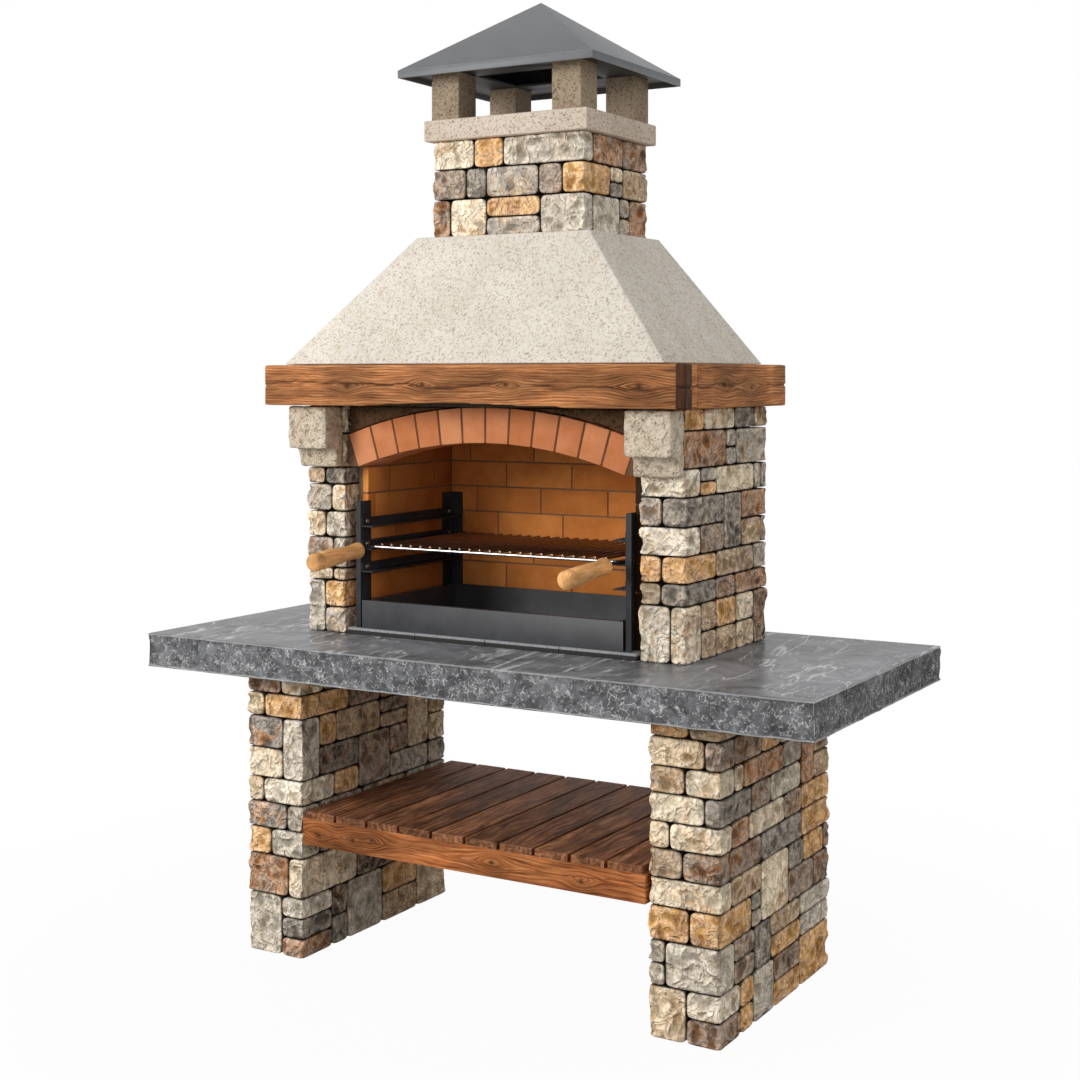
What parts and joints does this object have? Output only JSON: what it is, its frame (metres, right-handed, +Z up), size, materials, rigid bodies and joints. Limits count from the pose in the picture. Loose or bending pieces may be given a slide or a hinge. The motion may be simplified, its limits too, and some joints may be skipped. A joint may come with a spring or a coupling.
{
  "type": "masonry barbecue",
  "caption": "Stone-built garden barbecue with a brick-lined firebox under an arch and timber mantel, a sliding grill and charcoal tray, a hood and a chimney.",
  "frame": {"origin": "on the ground under the middle of the worktop", "axes": "+Z up, +X to the right seen from the front, the firebox opens towards -Y"},
  "size_m": [1.8, 0.83, 2.385],
  "materials": {
    "hidden_concrete": "rough concrete",
    "split_stone": "split and tumbled natural stone in cream, ochre, brown and grey",
    "worktop_stone": "grey limestone, polished top, split edge",
    "rail_wood": "oiled reddish wood",
    "slat_wood": "dark stained wood",
    "zinc_steel": "zinc plated",
    "hearth_tile": "fired tile",
    "mortar": "sanded mortar",
    "fire_brick": "fire brick, brown glaze of heat",
    "arch_brick": "smooth fired clay",
    "rough_stone": "rough stone",
    "cast_stone": "cast stone with open pits",
    "beam_wood": "oiled oak beam with a long check",
    "hood_concrete": "cast concrete, pale beige, pitted",
    "cowl_steel": "satin grey",
    "black_steel": "matt black heat paint",
    "grill_chrome": "bright chrome",
    "rod_steel": "heat stained steel",
    "grip_wood": "turned, varnished beech"
  },
  "bodies": {
    "structure": {"leg_left_core": "hidden_concrete", "leg_left_stones": "split_stone", "leg_right_core": "hidden_concrete", "leg_right_stones": "split_stone", "worktop_slab": "worktop_stone", "shelf_front_rail": "rail_wood", "shelf_back_rail": "rail_wood", "shelf_slat_1": "slat_wood", "shelf_slat_2": "slat_wood", "shelf_slat_3": "slat_wood", "shelf_slat_4": "slat_wood", "shelf_slat_5": "slat_wood", "shelf_slat_6": "slat_wood", "shelf_slat_7": "slat_wood", "shelf_slat_8": "slat_wood", "shelf_slat_9": "slat_wood", "shelf_slat_10": "slat_wood", "shelf_screws": "zinc_steel", "pier_left_core": "hidden_concrete", "pier_left_stones": "split_stone", "pier_right_core": "hidden_concrete", "pier_right_stones": "split_stone", "hearth_tiles": "hearth_tile", "lining_left_mortar": "mortar", "lining_left_bricks": "fire_brick", "lining_right_mortar": "mortar", "lining_right_bricks": "fire_brick", "lining_back_mortar": "mortar", "lining_back_bricks": "fire_brick", "arch_bricks": "arch_brick", "arch_mortar": "mortar", "spandrel": "rough_stone", "corbel_left": "cast_stone", "corbel_right": "cast_stone", "beam_front": "beam_wood", "beam_left": "beam_wood", "beam_right": "beam_wood", "smoke_collar": "hood_concrete", "hood": "hood_concrete", "flue_liner": "hidden_concrete", "chimney_stones": "split_stone", "chimney_slab": "cast_stone", "cowl_posts": "cast_stone", "cowl_plate": "cowl_steel", "cowl_studs": "zinc_steel", "cowl_roof": "cowl_steel", "upright_front_left": "black_steel", "upright_front_right": "black_steel", "upright_back_left": "black_steel", "upright_back_right": "black_steel", "frame_rails": "black_steel", "frame_bolts": "zinc_steel"},
    "grill": {"grill_frame": "grill_chrome", "grill_rods": "rod_steel", "handle_rods": "black_steel", "handle_grip_left": "grip_wood", "handle_grip_right": "grip_wood"},
    "tray": {"charcoal_tray": "black_steel"}
  },
  "joints": [
    {"name": "grill_slide", "type": "slide", "parent": "structure", "child": "grill", "axis": [0, -1, 0], "range_m": [0, 0.25]},
    {"name": "tray_slide", "type": "slide", "parent": "structure", "child": "tray", "axis": [0, -1, 0], "range_m": [0, 0.35]}
  ]
}
